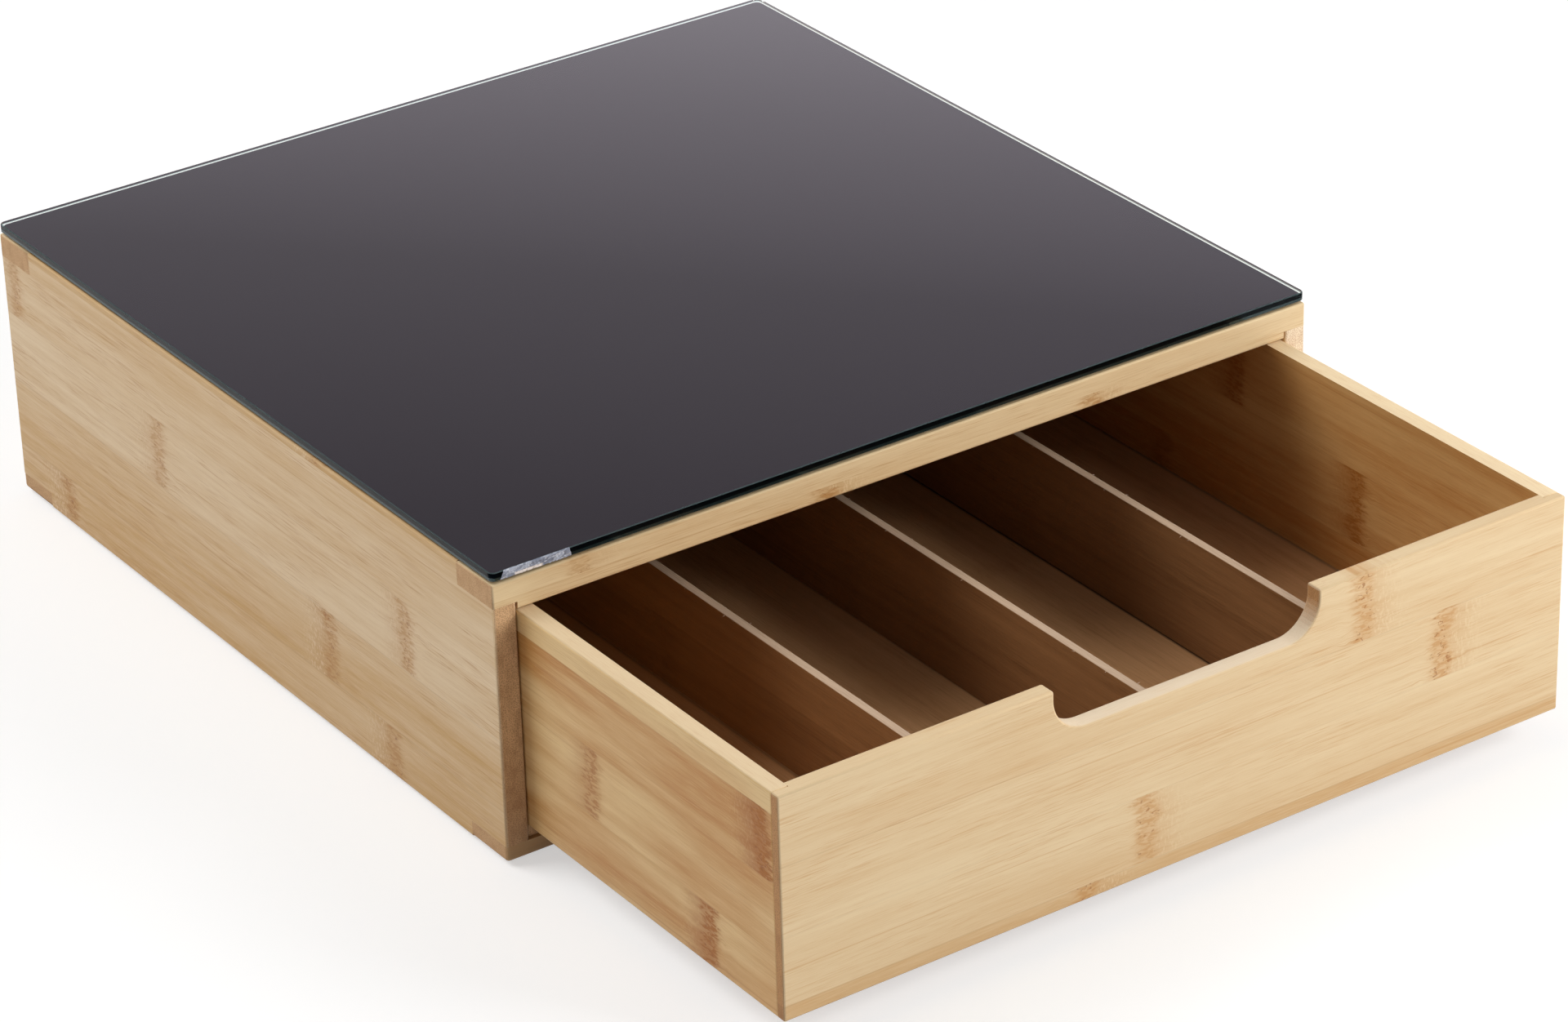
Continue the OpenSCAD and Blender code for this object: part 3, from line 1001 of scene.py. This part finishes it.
def makePlacingTree():
    tree = bpy.data.node_groups.new("placeShapes", "GeometryNodeTree")
    kinds = {
        "Geometry": "NodeSocketGeometry", "Shape": "NodeSocketObject", "Smallest": "NodeSocketFloat",
        "Largest": "NodeSocketFloat", "Seed": "NodeSocketInt", "Surface": "NodeSocketMaterial",
    }
    sockets = {}
    for label, kind in kinds.items():
        sockets[label] = tree.interface.new_socket(name=label, in_out="INPUT", socket_type=kind).identifier
    tree.interface.new_socket(name="Geometry", in_out="OUTPUT", socket_type=kinds["Geometry"])
    take = wires(put(tree, "NodeGroupInput"))
    inputs = {"Object": take["Shape"]}
    shape = wire(tree, "GeometryNodeObjectInfo", inputs, "Geometry", transform_space="ORIGINAL")
    turn = wire(tree, "GeometryNodeInputNamedAttribute", {"Name": "turn"}, data_type="FLOAT_VECTOR")
    angles = wire(tree, "FunctionNodeEulerToRotation", {0: turn})
    # sockets 2 and 3 and output 1 are the plain numbers of this node
    inputs = {2: take["Smallest"], 3: take["Largest"], "Seed": take["Seed"]}
    size = wire(tree, "FunctionNodeRandomValue", inputs, 1, data_type="FLOAT")
    inputs = {"Points": take["Geometry"], "Instance": shape, "Rotation": angles, "Scale": size}
    copies = wire(tree, "GeometryNodeInstanceOnPoints", inputs)
    real = wire(tree, "GeometryNodeRealizeInstances", {0: copies})
    dressed = wire(tree, "GeometryNodeSetMaterial", {"Geometry": real, "Material": take["Surface"]})
    feed(dressed, put(tree, "NodeGroupOutput").inputs[0])
    return tree, sockets


placingTree, placingSockets = makePlacingTree()


def placed(name, shape, places, material, turns=None, smallest=1.0, largest=1.0, seed=1):
    mesh = bpy.data.meshes.new(name + "Places")
    mesh.from_pydata(places, [], [])
    layer = mesh.attributes.new("turn", "FLOAT_VECTOR", "POINT")
    for item, angles in zip(layer.data, turns or [(0.0, 0.0, 0.0)] * len(places)):
        item.vector = angles
    piece = addPiece(name, mesh)
    modifier = piece.modifiers.new("placeShapes", "NODES")
    modifier.node_group = placingTree
    settings = {"Shape": shape, "Smallest": smallest, "Largest": largest, "Seed": seed, "Surface": material}
    for label, setting in settings.items():
        modifier[placingSockets[label]] = setting
    bpy.context.view_layer.update()
    result = bpy.data.meshes.new_from_object(piece.evaluated_get(bpy.context.evaluated_depsgraph_get()))
    piece.modifiers.remove(modifier)
    piece.data = result
    result.name = name
    bpy.data.objects.remove(shape)
    return piece


def plainLook(name, first, second, roughness, scale, bump, **settings):
    # first and second are the two tones that a fine cloud mixes
    material, tree, shader = newLook(name, **settings)
    grain = cloud(scaledPlace(tree, scale), 4.0)
    feed(grain.fade(*cloudRange).tint(first, second), shader["Base Color"])
    feed(grain.fade(*cloudRange, roughness - 0.08, roughness + 0.08), shader["Roughness"])
    addBump(shader, grain, bump)
    return material


def boxCorners(node, radius, z, middle=False):
    low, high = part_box(node)
    columns = [low.x + radius, high.x - radius]
    if middle:
        columns.insert(1, (low.x + high.x) / 2)
    return [(x, y, z) for x in columns for y in (low.y + radius, high.y - radius)]


def chamfered(radius, height, chamfer):
    lower = [(0, 0), (radius - chamfer, 0), (radius, chamfer)]
    return lower + [(reach, height - z) for reach, z in reversed(lower)]


# Rubber feet under the bottom rails
footLook = metres({"radius": 5.0, "height": 1.5, "round": 0.4, "middle": 0.12})
footRadius, footHeight, footRound, footMiddle = footLook.values()
footProfile = [
    (0, 0), (footRadius - footRound, 0), (footRadius - footMiddle, footMiddle), (footRadius, footRound),
    (footRadius, footHeight), (0, footHeight),
]
footRubber = plainLook("footRubber", (0.012, 0.012, 0.013, 1), (0.028, 0.028, 0.030, 1), 0.72, 1.6, 0.4)
footPlaces = boxCorners("rubber_feet", footRadius, 0.0)
feet = placed("RubberFeet", turned("footShape", footProfile, 40), footPlaces, footRubber)
settle(feet, "cabinet", "rubber", "rubber_feet")

# Clear pads between the rails and the glass
padLook = metres({"radius": 4.5, "height": 0.8, "chamfer": 0.2})
padGel = plainLook("clearPad", (0.80, 0.83, 0.83, 1), (0.90, 0.92, 0.92, 1), 0.30, 0.8, 0.2,
                   **{"Transmission Weight": 0.6})
padPlaces = boxCorners("glass_pads", padLook["radius"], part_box("glass_pads")[0].z, True)
pads = placed("GlassPads", turned("padShape", chamfered(**padLook), 36), padPlaces, padGel)
settle(pads, "cabinet", "clear_pad", "glass_pads")

# Fluted dowels in the lap joints
dowelLook = metres({"radius": 2.0, "height": 18.0, "chamfer": 0.5})
dowelFlute = 0.16 * millimetre
dowelBeech = plainLook("dowelBeech", paint(196, 158, 112), paint(216, 182, 138), 0.6, 0.9, 0.5)
dowelLow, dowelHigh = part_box("carcass_dowels")
dowelPlaces = boxCorners("carcass_dowels", dowelLook["radius"], dowelLow.z)
dowelPlaces += boxCorners("carcass_dowels", dowelLook["radius"], dowelHigh.z - dowelLook["height"])
dowelShape = turned("dowelShape", chamfered(**dowelLook), 48, dowelFlute)
dowels = placed("CarcassDowels", dowelShape, dowelPlaces, dowelBeech)
settle(dowels, "cabinet", "dowel_wood", "carcass_dowels")

# Brads through the drawer sides: radii, then heights from the head down
bradLook = metres({
    "radius": 0.8, "crown": 0.68, "shank": 0.6,
    "rim": 0.1, "head": 0.7, "neck": 0.9, "taper": 18.0, "tip": 20.0,
})
bradRadius, bradCrown, bradShank, bradRim, bradHead, bradNeck, bradTaper, bradTip = bradLook.values()
bradProfile = [
    (0, 0), (bradCrown, 0), (bradRadius, bradRim), (bradRadius, bradHead), (bradShank, bradNeck),
    (bradShank, bradTaper), (0, bradTip),
]
bradSteel = plainLook("bradSteel", (0.42, 0.42, 0.43, 1), (0.58, 0.58, 0.59, 1), 0.35, 2.4, 0.3, Metallic=1.0)
bradLow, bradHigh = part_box("drawer_brads")
bradPlaces, bradTurns = [], []
for x, lean in ((bradLow.x, math.pi / 2), (bradHigh.x, -math.pi / 2)):
    for z in (bradLow.z + bradRadius, bradHigh.z - bradRadius):
        bradPlaces.append((x, (bradLow.y + bradHigh.y) / 2, z))
        bradTurns.append((0.0, lean, 0.0))
brads = placed("DrawerBrads", turned("bradShape", bradProfile, 20), bradPlaces, bradSteel, bradTurns)
settle(brads, "drawer", "steel", "drawer_brads")
print("small pieces placed")

# Torn fibres that the saw left on the dividers' top edges
fuzzLook = {"count": 34, "seed": 19, "smallest": 0.35, "largest": 1.5}
fuzzSizes = metres({"root": 0.07, "rootTop": 0.04, "length": 0.9, "inset": 0.1, "sunk": 0.2, "endGap": 4.0})
fuzzRoot, fuzzRootTop, fuzzLength, fuzzInset, fuzzSunk, fuzzEndGap = fuzzSizes.values()
fuzzProfile = [(0, 0), (fuzzRoot, fuzzRootTop), (fuzzRoot / 1.7, fuzzLength / 2), (0, fuzzLength)]
fuzzFibre = plainLook("tornFibre", paint(238, 220, 204), paint(222, 196, 172), 0.8, 1.2, 0.2)
fuzzDraw = random.Random(fuzzLook["seed"])
fuzzPlaces, fuzzTurns = [], []
for side in dividerSides:
    low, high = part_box("divider_" + side)
    for _ in range(fuzzLook["count"]):
        edge = fuzzDraw.choice((low.x + fuzzInset, high.x - fuzzInset))
        along = fuzzDraw.uniform(low.y + fuzzEndGap, high.y - fuzzEndGap)
        fuzzPlaces.append((edge, along, high.z - fuzzSunk))
        # leaning out over the edge, and turned to either side
        lean = fuzzDraw.uniform(1.1, 1.9) * (1 if edge > (low.x + high.x) / 2 else -1)
        fuzzTurns.append((fuzzDraw.uniform(-0.7, 0.7), lean, fuzzDraw.uniform(-0.8, 0.8)))
fuzz = placed("TornFibres", turned("fuzzShape", fuzzProfile, 5), fuzzPlaces, fuzzFibre, fuzzTurns,
              fuzzLook["smallest"], fuzzLook["largest"], fuzzLook["seed"])
settle(fuzz, "drawer", "divider_board")
print("torn fibres placed")


def direction(turn, rise):
    # towards a place at this azimuth and elevation, as seen from the object
    return Vector((math.sin(turn) * math.cos(rise), -math.cos(turn) * math.cos(rise), math.sin(rise)))


# Camera, as the photograph was taken: lengths in millimetres, focal length in the photograph's pixels
cameraLook = {
    "focal": 6826.274, "imageWidth": 1920, "azimuth": -34.0288, "elevation": 28.0820, "roll": -1.76706,
    "target": (-0.888, -82.126, 41.5), "distance": 1800.698, "sensor": 36.0, "clip": (0.05, 50.0),
}
turnAngle, riseAngle, rollAngle = (math.radians(cameraLook[key]) for key in ("azimuth", "elevation", "roll"))
back = direction(turnAngle, riseAngle)
level = Vector((math.cos(turnAngle), math.sin(turnAngle), 0))
upright = back.cross(level)
right = level * math.cos(rollAngle) + upright * math.sin(rollAngle)
upright = upright * math.cos(rollAngle) - level * math.sin(rollAngle)
eye = (Vector(cameraLook["target"]) + back * cameraLook["distance"]) * millimetre
cameraData = bpy.data.cameras.new("PhotoCamera")
cameraData.sensor_fit = "HORIZONTAL"
cameraData.sensor_width = cameraLook["sensor"]
cameraData.lens = cameraLook["focal"] / cameraLook["imageWidth"] * cameraLook["sensor"]
cameraData.clip_start, cameraData.clip_end = cameraLook["clip"]
camera = bpy.data.objects.new("PhotoCamera", cameraData)
scene.collection.objects.link(camera)
camera.matrix_world = Matrix((
    (right.x, upright.x, back.x, eye.x),
    (right.y, upright.y, back.y, eye.y),
    (right.z, upright.z, back.z, eye.z),
    (0, 0, 0, 1),
))
scene.camera = camera

# Pale floor, which stays white to the eye and keeps the shadow
floorPlan = {"radius": 20.0, "sides": 96, "colour": (0.60, 0.60, 0.60, 1.0), "lift": 0.52}
floorBm = bmesh.new()
bmesh.ops.create_circle(floorBm, cap_ends=True, radius=floorPlan["radius"], segments=floorPlan["sides"])
floorMaterial = bpy.data.materials.new("paleFloor")
floorMaterial.use_nodes = True
floorTree = floorMaterial.node_tree
floorTree.nodes.clear()
rays = wires(put(floorTree, "ShaderNodeLightPath"))
seen = rays["Is Camera Ray"].most(rays["Is Glossy Ray"].most(rays["Is Transmission Ray"]))
matt = wire(floorTree, "ShaderNodeBsdfDiffuse", {"Color": floorPlan["colour"]})
glow = wire(floorTree, "ShaderNodeEmission", {"Strength": seen * floorPlan["lift"]})
both = wire(floorTree, "ShaderNodeAddShader", {0: matt, 1: glow})
feed(both, put(floorTree, "ShaderNodeOutputMaterial").inputs["Surface"])
addPiece("Floor", newMesh("Floor", floorBm), floorMaterial)

# Studio light: a bright sweep near the horizon, a dim ceiling, a soft key light from the front right
# and a wide fill light from the back left

worldLook = {
    "sweep": [(0.0, 0.85), (0.33, 0.90), (0.375, 1.66), (0.408, 1.60), (0.431, 1.15), (0.465, 0.63),
              (0.511, 0.39), (0.60, 0.27), (1.0, 0.20)],
    "top": 2.0, "leanRight": 0.12, "leanBack": 0.30,
}
lampLooks = {
    "KeyLight": {"azimuth": 35.0, "elevation": 27.0, "distance": 1.35, "size": 0.74, "power": 12.4},
    "FillLight": {"azimuth": -130.0, "elevation": 46.0, "distance": 2.2, "size": 1.4, "power": 28.8},
}
lampTarget = Vector((0.0, -0.08, 0.05))
world = bpy.data.worlds.new("Studio")
scene.world = world
world.use_nodes = True
worldTree = world.node_tree
worldTree.nodes.clear()
# height above the horizon, leaning so that the bright sweep stands behind the object
away = Vector((-math.sin(turnAngle), math.cos(turnAngle), 0))
lean = level * worldLook["leanRight"] + away * worldLook["leanBack"]
view = Wire(put(worldTree, "ShaderNodeTexCoord").outputs["Generated"])
inputs = {0: view, 1: (-lean.x, -lean.y, 1.0)}
rise = wire(worldTree, "ShaderNodeVectorMath", inputs, "Value", operation="DOT_PRODUCT")
stops = [(place, grey(tone / worldLook["top"])) for place, tone in worldLook["sweep"]]
sweep = (rise + worldLook["leanBack"]).ramp(stops, "LINEAR")
sky = wire(worldTree, "ShaderNodeBackground", {"Color": sweep, "Strength": worldLook["top"]})
feed(sky, put(worldTree, "ShaderNodeOutputWorld").inputs["Surface"])
for name, look in lampLooks.items():
    way = direction(math.radians(look["azimuth"]), math.radians(look["elevation"]))
    lampData = bpy.data.lights.new(name, "AREA")
    lampData.shape = "SQUARE"
    lampData.size = look["size"]
    lampData.energy = look["power"]
    lamp = bpy.data.objects.new(name, lampData)
    scene.collection.objects.link(lamp)
    # no lamp shapes in the glass
    lamp.visible_glossy = False
    lamp.visible_transmission = False
    lamp.location = lampTarget + way * look["distance"]
    lamp.rotation_mode = "QUATERNION"
    lamp.rotation_quaternion = (-way).to_track_quat("-Z", "Y")
scene.view_settings.view_transform = "Standard"
print("camera, floor and light set")
